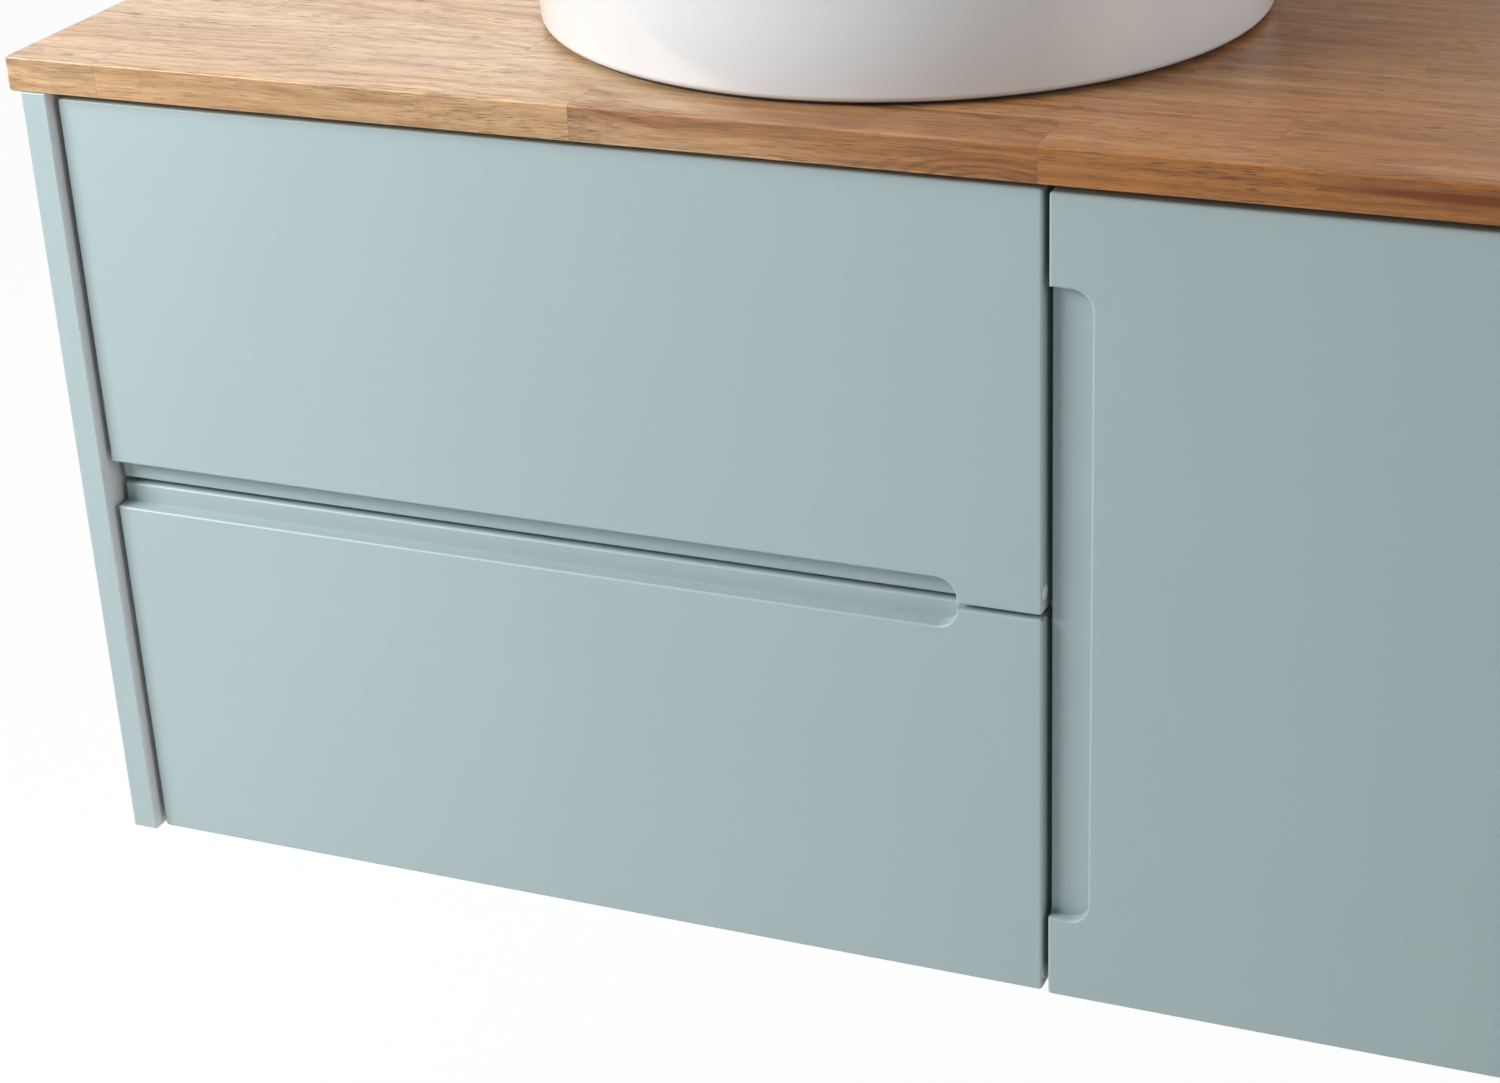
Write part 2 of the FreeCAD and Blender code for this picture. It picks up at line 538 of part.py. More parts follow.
def pull_tool(edge_z, height, upward):
    """The space cut from a drawer front's face beside its long edge, open at the left."""
    x1 = DRAWER_X1 - DRAWER_PULL_END
    z0 = edge_z - OVERCUT if upward else edge_z - height
    z1 = z0 + height + OVERCUT
    tool = block(DRAWER_X0 - OVERCUT, x1, FRONT_Y - OVERCUT, FRONT_Y + DRAWER_PULL_DEPTH, z0, z1)
    inner_z = z1 if upward else z0
    corner = [e for e in tool.Edges if runs_along(e, Y_AXIS) and
              abs(e.CenterOfMass.x - x1) < 1e-6 and abs(e.CenterOfMass.z - inner_z) < 1e-6]
    return tool.makeFillet(min(PULL_RADIUS, height), corner)


def round_tongue(front, edge_z):
    """Eases the front edge of the thin tongue that the pull leaves."""
    y = FRONT_Y + DRAWER_PULL_DEPTH
    edges = [e for e in edges_on_y(front, y) if abs(e.CenterOfMass.z - edge_z) < 1e-6]
    return front.makeFillet(TONGUE_ROUND, edges)


def drawer_front(z0, z1, edge_z, pull_height, cap):
    front = rounded_plate(DRAWER_X0, DRAWER_X1, z0, z1, FRONT_Y, FRONT_BACK_Y, FRONT_CORNER)
    front = front.cut(pull_tool(edge_z, pull_height, edge_z == z0))
    front = on_front_face(front)
    front = round_tongue(front, edge_z)
    return without(front, [cap] + front_screws(z0 + BOX_LIFT))


def build_drawer(level, z0, z1, edge_z, pull_height, cap_height):
    cap = edge_cap(z0, cap_height)
    save(level + "_drawer_front", drawer_front(z0, z1, edge_z, pull_height, cap))
    save(level + "_front_cap", cap)
    save(level + "_front_screws", Part.makeCompound(front_screws(z0 + BOX_LIFT)))

    bottom = z0 + BOX_LIFT
    top = bottom + BOX_HEIGHT
    base_z = bottom + BASE_LIFT
    base_top = base_z + BASE_THICK
    inner_x0 = BOX_X0 + BOARD
    inner_x1 = BOX_X1 - BOARD
    inner_y0 = FRONT_BACK_Y + BOARD
    inner_y1 = BOX_Y1 - BOARD
    base = block(inner_x0 - GROOVE, inner_x1 + GROOVE, inner_y0 - GROOVE, BOX_Y1, base_z, base_top)
    half = CUTOUT_WIDTH / 2
    if level == "upper":
        base = base.cut(block(-half, half, CUTOUT_FRONT, BOX_Y1 + 1, base_z - 1, base_top + 1))
    save(level + "_drawer_base", base)

    left = block(BOX_X0, inner_x0, FRONT_BACK_Y, BOX_Y1, bottom, top)
    right = block(inner_x1, BOX_X1, FRONT_BACK_Y, BOX_Y1, bottom, top)
    front = block(inner_x0, inner_x1, FRONT_BACK_Y, inner_y0, bottom, top)
    save(level + "_drawer_side_left", left.cut(base))
    save(level + "_drawer_side_right", right.cut(base))
    save(level + "_drawer_inner_front", without(front, [base] + front_screws(bottom)))
    if level == "upper":
        backs = [block(inner_x0, -half - BOARD, inner_y1, BOX_Y1, base_top, top),
                 block(half + BOARD, inner_x1, inner_y1, BOX_Y1, base_top, top)]
        guard = block(-half - BOARD, half + BOARD, CUTOUT_FRONT - BOARD, BOX_Y1, base_top, top)
        guard = guard.cut(block(-half, half, CUTOUT_FRONT, BOX_Y1, base_top, top))
        save("upper_drawer_backs", Part.makeCompound(backs))
        save("upper_drawer_plumbing_guard", guard)
    else:
        save("lower_drawer_back", block(inner_x0, inner_x1, inner_y1, BOX_Y1, base_top, top))


# ---------------------------------------------------------------- door and hinges
PIN_X = INNER_X - KNUCKLE_RADIUS - PIN_CLEARANCE
PIN_Y = FRONT_Y - KNUCKLE_RADIUS - KNUCKLE_STAND
HINGE_STARTS = (DOOR_Z0 + HINGE_INSET, DOOR_Z1 - HINGE_INSET - HINGE_LENGTH)
LEAF_Y1 = FRONT_BACK_Y - LEAF_MARGIN


def hinge_screw(x, y, z, axis):
    """A countersunk screw, flush with the leaf that it goes through."""
    head = Part.makeCone(HINGE_SCREW_HEAD, HINGE_SCREW_RADIUS, LEAF_THICK, V(x, y, z), axis)
    return head.fuse(rod(HINGE_SCREW_RADIUS, V(x, y, z), axis, HINGE_SCREW_LENGTH))


def hinge_screw_list(x, axis):
    y = (FRONT_Y + LEAF_Y1) / 2
    return [hinge_screw(x, y, start + offset, axis) for start in HINGE_STARTS
            for offset in (HINGE_LENGTH * 0.2, HINGE_LENGTH * 0.8)]


def hinge_leaf(x0, x1, start, first_knuckle):
    """A leaf plate with every second knuckle of the barrel."""
    leaf = block(x0, x1, FRONT_Y, LEAF_Y1, start, start + HINGE_LENGTH)
    pitch = HINGE_LENGTH / KNUCKLES
    for number in range(first_knuckle, KNUCKLES, 2):
        z0 = start + number * pitch + KNUCKLE_PLAY / 2
        z1 = start + (number + 1) * pitch - KNUCKLE_PLAY / 2
        tab = block(x0, min(x1, PIN_X + KNUCKLE_RADIUS), PIN_Y, FRONT_Y, z0, z1)
        leaf = leaf.fuse([rod(KNUCKLE_RADIUS, V(PIN_X, PIN_Y, z0), Z_AXIS, z1 - z0), tab])
    return leaf.cut(rod(PIN_RADIUS + PIN_PLAY, V(PIN_X, PIN_Y, start - 1), Z_AXIS,
                        HINGE_LENGTH + 2))


def build_door(door_screws, cabinet_screws):
    door = rounded_plate(DOOR_X0, DOOR_X1, DOOR_Z0, DOOR_Z1, FRONT_Y, FRONT_BACK_Y, FRONT_CORNER)
    tool = block(DOOR_X0 - OVERCUT, DOOR_X0 + DOOR_PULL_WIDTH, FRONT_Y - OVERCUT, FRONT_Y + DOOR_PULL_DEPTH,
                 DOOR_Z0 + DOOR_PULL_MARGIN, DOOR_Z1 - DOOR_PULL_MARGIN)
    corners = [e for e in tool.Edges if runs_along(e, Y_AXIS)
               and abs(e.CenterOfMass.x - DOOR_X0 - DOOR_PULL_WIDTH) < 1e-6]
    door = door.cut(tool.makeFillet(PULL_RADIUS, corners))
    save("door", without(on_front_face(door), door_screws))

    door_leaves = [hinge_leaf(DOOR_X1, DOOR_X1 + LEAF_THICK, start, 1) for start in HINGE_STARTS]
    cabinet_leaves = [hinge_leaf(INNER_X - LEAF_THICK, INNER_X, start, 0) for start in HINGE_STARTS]
    pins = [rod(PIN_RADIUS, V(PIN_X, PIN_Y, start), Z_AXIS, HINGE_LENGTH)
            for start in HINGE_STARTS]
    save("hinge_door_leaves", without(Part.makeCompound(door_leaves), door_screws))
    save("hinge_cabinet_leaves", without(Part.makeCompound(cabinet_leaves), cabinet_screws))
    save("hinge_pins", Part.makeCompound(pins))
    save("hinge_door_screws", Part.makeCompound(door_screws))
    save("hinge_cabinet_screws", Part.makeCompound(cabinet_screws))


# ---------------------------------------------------------------- the whole
def main():
    os.makedirs("parts", exist_ok=True)
    dowels = carcass_dowels()
    pins = shelf_pins()
    runner_screws = runner_screw_list()
    door_screws = hinge_screw_list(DOOR_X1 + LEAF_THICK, -X_AXIS)
    cabinet_screws = hinge_screw_list(INNER_X - LEAF_THICK, X_AXIS)
    build_carcass(dowels, pins, runner_screws, cabinet_screws)
    build_bench()
    build_basin()
    build_waste()
    build_trap()
    save("runner_screws", Part.makeCompound(runner_screws))
    build_runners("upper", UPPER_FRONT_Z, runner_screws)
    build_runners("lower", 0.0, runner_screws)
    build_drawer("upper", UPPER_FRONT_Z, FRONTS_TOP, UPPER_FRONT_Z, UPPER_PULL_HEIGHT,
                 UPPER_CAP_HEIGHT)
    build_drawer("lower", 0.0, LOWER_FRONT_HEIGHT, LOWER_FRONT_HEIGHT, LOWER_PULL_HEIGHT,
                 LOWER_CAP_HEIGHT)
    build_door(door_screws, cabinet_screws)


main()
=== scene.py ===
"""Finishes, fittings and fine detail of a wall-hung vanity with a round vessel basin."""
import json
import math

import bmesh
import bpy
from mathutils import Matrix, Vector


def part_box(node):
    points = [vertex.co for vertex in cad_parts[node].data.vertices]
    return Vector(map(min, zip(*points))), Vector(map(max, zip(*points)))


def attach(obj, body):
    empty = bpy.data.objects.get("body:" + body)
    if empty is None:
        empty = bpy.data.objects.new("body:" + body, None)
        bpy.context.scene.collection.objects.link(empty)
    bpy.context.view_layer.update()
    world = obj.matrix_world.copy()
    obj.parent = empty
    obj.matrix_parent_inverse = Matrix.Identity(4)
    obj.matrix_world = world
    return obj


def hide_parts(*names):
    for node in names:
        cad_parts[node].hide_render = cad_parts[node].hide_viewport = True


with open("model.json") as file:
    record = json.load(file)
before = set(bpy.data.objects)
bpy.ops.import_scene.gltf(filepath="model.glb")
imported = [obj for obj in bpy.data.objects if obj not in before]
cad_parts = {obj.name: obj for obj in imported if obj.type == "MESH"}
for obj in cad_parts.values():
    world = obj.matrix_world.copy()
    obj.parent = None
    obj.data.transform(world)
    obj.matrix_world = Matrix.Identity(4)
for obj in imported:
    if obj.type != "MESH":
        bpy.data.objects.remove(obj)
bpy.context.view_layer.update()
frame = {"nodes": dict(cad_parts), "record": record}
NODES = frame["nodes"]

# ---------------------------------------------------------------- sizes, in metres
BENCH_LOW, BENCH_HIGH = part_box("benchtop")
BASIN_LOW, BASIN_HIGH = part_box("basin")
PANEL_LOW, PANEL_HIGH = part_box("side_panel_left")

STAVE_LENGTH = 0.2727
STAVE_ROWS = 11
STAVE_FIRST = -0.3916          # the front row's first joint
STAVE_STAGGER = 0.618          # share of a stave by which each row starts further on
STAVE_UNEVEN = 0.033           # share of a stave by which the joints leave their even places
ROW_NUDGE = 0.0001             # keeps the front edge inside the first row
RING_SPACING = 0.0065
GLUE_LINE = 0.00025
STREAK_CENTRE = (0.385, BENCH_LOW.y, BENCH_LOW.z + 0.0115)
STREAK_SIZE = (0.085, 0.016, 0.0030)
SWIRL_CENTRE = (0.128, BENCH_LOW.z - 0.001)
SWIRL_SIZE = (0.042, 0.0105)
SWIRL_END = 0.1545
SWIRL_TURNS = 3.2

BASIN_WALL = 0.009
BASIN_FOOT_ROUND = 0.004
BASIN_FOOT_GAP = 0.0022        # the round ends above the bench, over a set-back foot ring
BASIN_FOOT_SETBACK = 0.015
# set-back of the dark ring under the foot that is painted shade
BASIN_SHADE_RING_SETBACK = 0.0015
BASIN_BOWL_ROUND = 0.040
BASIN_FLOOR = 0.020
BASIN_DRAIN_FLOOR = 0.015
FLANGE_STEP = 0.003
FLANGE_SEAT = 0.033
DRAIN_HOLE = 0.023
BASIN_STEPS = 160

CAP_STEPS = 40
CAP_POLE = 0.0002              # radius at which a turned cap's face stops short of its axis
HEAD_STEPS = 24
SHANK_STEPS = 12
SCREW_HEAD = 0.0016
HINGE_SCREW_HEAD = 0.0012
RIB_WIDTH = 0.0011
RIB_HEIGHT = 0.0013
RIB_SHARE = 0.8                # share of a nut's length that its ribs cover
RIB_CORNERS = 10

FLOOR_DROP = 0.36              # floor below the cabinet's underside
FLOOR_SIZE = 40.0
FLOOR_GLOW = 0.965             # how white the camera sees the floor; it still takes shadows

ROOM_COLOUR = (0.97, 0.985, 1.0, 1.0)
ROOM_STRENGTH = 0.18
WHITE = (1, 1, 1, 1)

# Each softbox: where it stands, what it faces, its width and height, watts and colour.
SOFTBOXES = {
    "key": ((-1.35, -1.35, 0.95), (-0.15, -0.35, 0.0), (0.85, 0.85), 44.0, (0.98, 0.99, 1.0)),
    "fill": ((2.2, -0.64, 0.65), (0.0, -0.4, 0.1), (1.2, 1.2), 21.0, (1.0, 0.99, 0.97)),
    "top": ((-0.35, -0.1, 1.5), (0.1, -0.25, 0.25), (1.0, 0.8), 6.0, (1.0, 1.0, 1.0)),
    "sheen": ((-1.3, 1.35, 0.85), (-0.3, -0.2, 0.25), (1.9, 0.9), 9.5, (0.96, 0.99, 1.0)),
    "sheen_right": ((0.65, 1.35, 1.05), (0.35, -0.2, 0.25), (1.3, 0.8), 3.6,
                    (0.97, 0.99, 1.0)),
}

CAMERA_PLACE = (0.59191, -1.81725, 0.70938)
CAMERA_YAW, CAMERA_PITCH, CAMERA_ROLL = -23.138, -26.837, -2.389      # degrees
CAMERA_LENS, CAMERA_SENSOR = 72.518, 36.0                             # millimetres
CAMERA_SHIFT = (-0.02626, 0.05906)
CAMERA_NEAR = 0.05


def srgb(red, green, blue):
    """A colour written as it looks on a screen, from 0 to 1, as shader nodes take it."""
    linear = [c / 12.92 if c <= 0.04045 else ((c + 0.055) / 1.055) ** 2.4
              for c in (red, green, blue)]
    return (*linear, 1.0)


# ---------------------------------------------------------------- shader building
class Value:
    """One socket of a material, with Python's operators for its maths."""

    def __init__(self, finish, socket):
        self.finish = finish
        self.socket = socket

    def maths(self, operation, first, second=None):
        inputs = {0: first} if second is None else {0: first, 1: second}
        return self.finish.node("ShaderNodeMath", {"operation": operation}, inputs)

    def __add__(self, other):
        return self.maths("ADD", self, other)

    def __radd__(self, other):
        return self.maths("ADD", other, self)

    def __sub__(self, other):
        return self.maths("SUBTRACT", self, other)

    def __rsub__(self, other):
        return self.maths("SUBTRACT", other, self)

    def __mul__(self, other):
        return self.maths("MULTIPLY", self, other)

    def __truediv__(self, other):
        return self.maths("DIVIDE", self, other)

    def __lt__(self, other):
        return self.maths("LESS_THAN", self, other)

    def __gt__(self, other):
        return self.maths("GREATER_THAN", self, other)

    def call(self, operation, second=None):
        return self.maths(operation, self, second)


class Finish:
    """A material made from nodes, ending in one Principled shader."""

    def __init__(self, name):
        self.material = bpy.data.materials.new(name)
        self.material.use_nodes = True
        self.tree = self.material.node_tree
        self.tree.nodes.clear()
        self.output = self.tree.nodes.new("ShaderNodeOutputMaterial")
        self.shader = self.tree.nodes.new("ShaderNodeBsdfPrincipled")
        self.tree.links.new(self.shader.outputs[0], self.output.inputs[0])

    def put(self, socket, value):
        if isinstance(value, Value):
            self.tree.links.new(value.socket, socket)
        else:
            socket.default_value = value

    def node(self, kind, settings=None, inputs=None, output=0):
        made = self.tree.nodes.new(kind)
        for key, value in (settings or {}).items():
            setattr(made, key, value)
        for key, value in (inputs or {}).items():
            self.put(made.inputs[key], value)
        return Value(self, made.outputs[output])

    def set(self, **inputs):
        for key, value in inputs.items():
            self.put(self.shader.inputs[key.replace("_", " ")], value)
        return self

    def place(self):
        return self.node("ShaderNodeTexCoord", output="Object")

    def axes(self, vector):
        return [self.node("ShaderNodeSeparateXYZ", inputs={0: vector}, output=k) for k in range(3)]

    def vector(self, x, y, z):
        return self.node("ShaderNodeCombineXYZ", inputs={0: x, 1: y, 2: z})

    def noise(self, vector, scale, detail=2.0, roughness=0.5):
        return self.node("ShaderNodeTexNoise", inputs={"Vector": vector, "Scale": scale,
                                                       "Detail": detail, "Roughness": roughness})

    def stretch(self, vector, x, y, z):
        return self.node("ShaderNodeVectorMath", {"operation": "MULTIPLY"},
                         {0: vector, 1: (x, y, z)})

    def fit(self, value, low, high, to_low=0.0, to_high=1.0):
        return self.node("ShaderNodeMapRange", {"interpolation_type": "SMOOTHSTEP"},
                         {0: value, 1: low, 2: high, 3: to_low, 4: to_high})

    def mix(self, amount, first, second, blend="MIX"):
        made = self.tree.nodes.new("ShaderNodeMix")
        made.data_type = "RGBA"
        made.blend_type = blend
        for number, value in ((0, amount), (6, first), (7, second)):
            self.put(made.inputs[number], value)
        return Value(self, made.outputs[2])

    def shade(self, colour, amount):
        """The colour times a grey amount, both of which may vary."""
        return self.mix(1.0, colour, self.vector(amount, amount, amount), "MULTIPLY")

    def bump(self, height, distance, strength):
        return self.node("ShaderNodeBump", inputs={"Height": height, "Distance": distance,
                                                   "Strength": strength})


# ---------------------------------------------------------------- finishes
PAINT = srgb(0.637, 0.703, 0.707)
GREY_BOARD = srgb(0.70, 0.70, 0.70)
PANEL_INSIDE = srgb(0.86, 0.86, 0.86)
GLAZE_WHITE = srgb(0.85, 0.855, 0.86)
BEECH = srgb(0.80, 0.68, 0.50)

# The bench's wood, from its palest staves to its darkest marks, with one darker tint that is
# painted shade on the front edge.
WOOD_PALE = srgb(0.795, 0.675, 0.53)
WOOD_HONEY = srgb(0.755, 0.605, 0.435)
WOOD_GOLD = srgb(0.79, 0.60, 0.37)
WOOD_PINK = srgb(0.69, 0.515, 0.38)
WOOD_AMBER = srgb(0.69, 0.465, 0.25)
WOOD_EDGE_SHADE = srgb(0.60, 0.36, 0.13)
WOOD_BROWN = srgb(0.54, 0.33, 0.17)
WOOD_STREAK = srgb(0.46, 0.19, 0.05)
WOOD_SWIRL = srgb(0.43, 0.24, 0.11)
WOOD_GLUE = srgb(0.40, 0.26, 0.16)
WOOD_PORE = srgb(0.34, 0.18, 0.08)


def lacquer_texture(finish):
    """Fine orange peel of a sprayed satin lacquer, and its slow change in sheen."""
    place = finish.place()
    peel = finish.noise(place, 420.0, 2.0)
    cloud = finish.noise(place, 5.0, 2.0)
    finish.set(Roughness=0.36 + cloud * 0.09, Normal=finish.bump(peel, 0.00003, 0.5))
    return place, cloud


def painted():
    """The fronts: satin lacquer in one colour."""
    finish = Finish("duck_egg_lacquer")
    cloud = lacquer_texture(finish)[1]
    finish.set(Base_Color=finish.shade(PAINT, 0.975 + cloud * 0.05))
    return finish.material


def painted_panel(inner_x):
    """The side panels: lacquer outside and at the front, and grey faced board inside."""
    finish = Finish("side_panel_lacquer")
    place, cloud = lacquer_texture(finish)
    x = finish.axes(place)[0]
    outside = x.call("ABSOLUTE") > abs(inner_x) + 0.0003
    lacquer = finish.shade(PAINT, 0.975 + cloud * 0.05)
    speck = finish.noise(place, 900.0, 1.0)
    board = finish.shade(PANEL_INSIDE, 0.95 + speck * 0.1)
    finish.set(Base_Color=finish.mix(outside, board, lacquer))
    return finish.material


def faced_board(name, colour):
    """Melamine-faced board: a faint linen grain in a mid-sheen grey."""
    finish = Finish(name)
    place = finish.place()
    weave = finish.noise(finish.stretch(place, 260.0, 260.0, 1400.0), 1.0, 2.0)
    speck = finish.noise(place, 900.0, 1.0)
    finish.set(Base_Color=finish.shade(colour, 0.93 + speck * 0.07 + weave * 0.07),
               Roughness=0.48 + weave * 0.1, Normal=finish.bump(weave, 0.00004, 0.5))
    return finish.material


def timber():
    """Staves glued edge to edge and end to end, each with its own tone, slope and rings."""
    finish = Finish("glued_staves")
    place = finish.place()
    x, y, z = finish.axes(place)
    row_width = (BENCH_HIGH.y - BENCH_LOW.y) / STAVE_ROWS
    across = (y - BENCH_LOW.y + ROW_NUDGE) / row_width
    row = across.call("FLOOR")
    swing = ((x - STAVE_FIRST) * (math.pi / STAVE_LENGTH)).call("COSINE")
    uneven = swing * STAVE_UNEVEN - STAVE_UNEVEN
    along = (x - STAVE_FIRST) / STAVE_LENGTH + uneven + row * STAVE_STAGGER
    stave = along.call("FLOOR")
    chance = finish.node("ShaderNodeTexWhiteNoise", inputs={0: finish.vector(row, stave, 0.5)},
                         output="Color")
    tone, shift, lean = finish.axes(chance)

    # Each stave's grain wanders and slopes a little, and its rings centre on a pith line
    # that lies off to one side of it.
    wander = finish.noise(finish.vector(x * 5.0 + tone * 9.0, y * 9.0 + shift * 7.0, z * 9.0), 1.0)
    slope = x * (lean - 0.5) * 0.05
    grain_y = y + shift + slope + wander * 0.012
    grain_z = z + lean + wander * 0.008
    own = finish.vector(x + tone * 3.0, grain_y, grain_z)
    pith_y = (across - row - 0.5) * row_width + (shift - 0.5) * 0.09 + slope
    pith_z = z - BENCH_LOW.z + 0.004 + lean * 0.05
    reach = (pith_y * pith_y + pith_z * pith_z).call("SQRT") + wander * 0.05
    ring = ((reach * (2 * math.pi / RING_SPACING)).call("SINE") * 0.5 + 0.5).call("POWER", 2.5)

    broad = finish.noise(finish.stretch(own, 2.4, 75.0, 75.0), 1.0, 2.0, 0.55)
    streaks = finish.noise(finish.stretch(own, 6.0, 230.0, 230.0), 1.0, 3.0, 0.6)
    fibre = finish.noise(finish.stretch(own, 34.0, 1100.0, 1100.0), 1.0, 2.0, 0.6)
    pores = finish.noise(finish.stretch(own, 75.0, 2000.0, 2000.0), 1.0, 1.0)
    clump = finish.fit(finish.noise(finish.stretch(own, 9.0, 60.0, 60.0), 1.0, 1.0), 0.3, 0.7)
    pore = finish.fit(pores, 0.57, 0.645) * (clump * 0.55 + 0.45)

    colour = finish.mix(finish.fit(tone, 0.1, 0.9, 0.15, 0.85), WOOD_PALE, WOOD_HONEY)
    warm = finish.fit(x + lean * 0.22 + (broad - 0.5) * 0.5, -0.08, 0.42)
    colour = finish.mix(warm, colour, WOOD_AMBER)
    colour = finish.mix(finish.fit(shift, 0.45, 1.0, 0.0, 0.25), colour, WOOD_PINK)
    bands = finish.fit(broad, 0.5, 0.74, 0.0, 0.42) * (warm * 0.65 + 0.35)
    colour = finish.mix(bands, colour, WOOD_BROWN)
    colour = finish.mix(ring * finish.fit(broad, 0.3, 0.6, 0.08, 0.42), colour, WOOD_BROWN)
    golden = finish.fit(broad, 0.32, 0.46, 0.45, 0.0) * warm
    colour = finish.mix(golden, colour, WOOD_GOLD)
    # Painted shade: the front edge is tinted darker and more saturated than the top, which reads
    # paler under its sheen.
    edge = finish.fit(y, BENCH_LOW.y + 0.001, BENCH_LOW.y + 0.003, 1.0, 0.0)
    colour = finish.mix(edge * warm * 0.30, colour, WOOD_EDGE_SHADE)
    mottle = finish.noise(finish.stretch(own, 14.0, 95.0, 95.0), 1.0, 2.0)
    lines = (streaks - 0.5) * 0.55 + (fibre - 0.5) * 0.46 + (mottle - 0.5) * 0.42
    # Darker towards the right end: partly the wood's own tone and partly painted shade, where the
    # light falls off.
    right_tone_and_shade = finish.fit(x, 0.18, 0.42, 0.0, 0.13)
    colour = finish.shade(colour, 0.95 - right_tone_and_shade + tone * 0.12 + lines * (edge * 0.7 + 1.15))

    # Growth rings that close on the end of one stave in the front edge.
    swirl_x = (x - SWIRL_CENTRE[0]) / SWIRL_SIZE[0]
    swirl_z = (z - SWIRL_CENTRE[1]) / SWIRL_SIZE[1]
    turn = (swirl_x * swirl_x + swirl_z * swirl_z).call("SQRT") + (wander - 0.5) * 0.5
    swirl = ((turn * (2 * math.pi * SWIRL_TURNS)).call("SINE") * 0.5 + 0.5).call("POWER", 2.0)
    within = finish.fit(turn, 0.5, 2.0, 0.62, 0.0) * edge * (x < SWIRL_END)
    colour = finish.mix(swirl * within, colour, WOOD_SWIRL)
    colour = finish.mix(pore * 0.72, colour, WOOD_PORE)

    # A red-brown mineral streak in the front edge.
    bend = (broad - 0.5) * 0.004
    dx = (x - STREAK_CENTRE[0]) / STREAK_SIZE[0]
    dy = (y - STREAK_CENTRE[1]) / STREAK_SIZE[1]
    dz = (z - STREAK_CENTRE[2] + bend) / STREAK_SIZE[2]
    near = (dx * dx + dy * dy + dz * dz) + (streaks - 0.5) * 1.6
    colour = finish.mix(finish.fit(near, 0.2, 1.5, 0.9, 0.0), colour, WOOD_STREAK)

    end_gap = (along - stave - 0.5).call("ABSOLUTE") * STAVE_LENGTH
    side_gap = (across - row - 0.5).call("ABSOLUTE") * row_width
    joint = end_gap > STAVE_LENGTH / 2 - GLUE_LINE
    seam = side_gap > row_width / 2 - GLUE_LINE / 2
    line = joint.call("MAXIMUM", seam * 0.45)
    colour = finish.mix(line * 0.45, colour, WOOD_GLUE)

    finish.set(Base_Color=colour, Roughness=0.34 + pore * 0.25 + fibre * 0.08,
               Normal=finish.bump(fibre * 0.4 - pore - line * 0.6, 0.00012, 0.5))
    return finish.material


def plain_timber():
    """Plain wood with its fibres along X, for the dowels."""
    finish = Finish("dowel_beech")
    place = finish.place()
    fibre = finish.noise(finish.stretch(place, 30.0, 900.0, 900.0), 1.0, 2.0)
    finish.set(Base_Color=finish.shade(BEECH, 0.85 + fibre * 0.3), Roughness=0.6,
               Normal=finish.bump(fibre, 0.0001, 0.5))
    return finish.material


def glaze():
    """Fired gloss glaze: faint pooling and the shallow waves of a poured surface."""
    finish = Finish("white_glaze")
    place = finish.place()
    wave = finish.noise(place, 14.0, 1.0)
    pool = finish.noise(place, 60.0, 2.0)
    finish.set(Base_Color=finish.shade(GLAZE_WHITE, 0.985 + pool * 0.02),
               Roughness=0.16 + pool * 0.06, Coat_Weight=0.25, Coat_Roughness=0.12,
               Normal=finish.bump(wave, 0.0004, 0.35))
    return finish.material


def moulded(name, colour):
    """Injection-moulded plastic with a spark-eroded texture."""
    finish = Finish(name)
    place = finish.place()
    grain = finish.noise(place, 1600.0, 2.0)
    haze = finish.noise(place, 30.0, 2.0)
    finish.set(Base_Color=finish.shade(colour, 0.96 + haze * 0.06),
               Roughness=0.42 + grain * 0.1, Normal=finish.bump(grain, 0.00003, 0.5))
    return finish.material


def metal(name, colour, roughness, along, grain=0.15):
    """Metal with a fine drawn or rolled grain along one axis."""
    finish = Finish(name)
    place = finish.place()
    scale = [2600.0, 2600.0, 2600.0]
    scale["xyz".index(along)] = 40.0
    drawn = finish.noise(finish.stretch(place, *scale), 1.0, 2.0)
    stain = finish.noise(place, 45.0, 3.0)
    finish.set(Base_Color=finish.shade(colour, 0.9 + stain * 0.14), Metallic=1.0,
               Roughness=roughness + drawn * grain + stain * 0.06,
               Normal=finish.bump(drawn, 0.00002, 0.4))
    return finish.material


def soft(name, colour):
    """Rubber or another soft plastic, with a dull even surface."""
    finish = Finish(name)
    grain = finish.noise(finish.place(), 900.0, 2.0)
    finish.set(Base_Color=finish.shade(colour, 0.9 + grain * 0.2), Roughness=0.62 + grain * 0.15,
               Normal=finish.bump(grain, 0.00005, 0.5))
    return finish.material


def finishes():
    """One material for each slot of the record."""
    return {
        "painted_front": painted(),
        "side_panel": painted_panel(PANEL_HIGH.x),
        "carcass_board": faced_board("carcass_grey", GREY_BOARD),
        "bench_timber": timber(),
        "dowel_timber": plain_timber(),
        "ceramic": glaze(),
        "seal_rubber": soft("black_rubber", srgb(0.16, 0.16, 0.16)),
        "plated_brass": metal("polished_plate", srgb(0.87, 0.87, 0.88), 0.06, "z", 0.04),
        "waste_plastic": moulded("white_waste_plastic", srgb(0.90, 0.90, 0.89)),
        "drawer_box": faced_board("drawer_grey", srgb(0.76, 0.765, 0.77)),
        "runner_steel": metal("zinc_runner", srgb(0.70, 0.71, 0.72), 0.30, "y"),
        "screw_steel": metal("zinc_screw", srgb(0.72, 0.72, 0.71), 0.28, "z"),
        "hinge_steel": metal("satin_hinge", srgb(0.74, 0.74, 0.73), 0.24, "z"),
        "bumper": soft("soft_bumper", srgb(0.85, 0.86, 0.86)),
        "front_cap": moulded("cap_plastic", srgb(0.84, 0.86, 0.86)),
    }


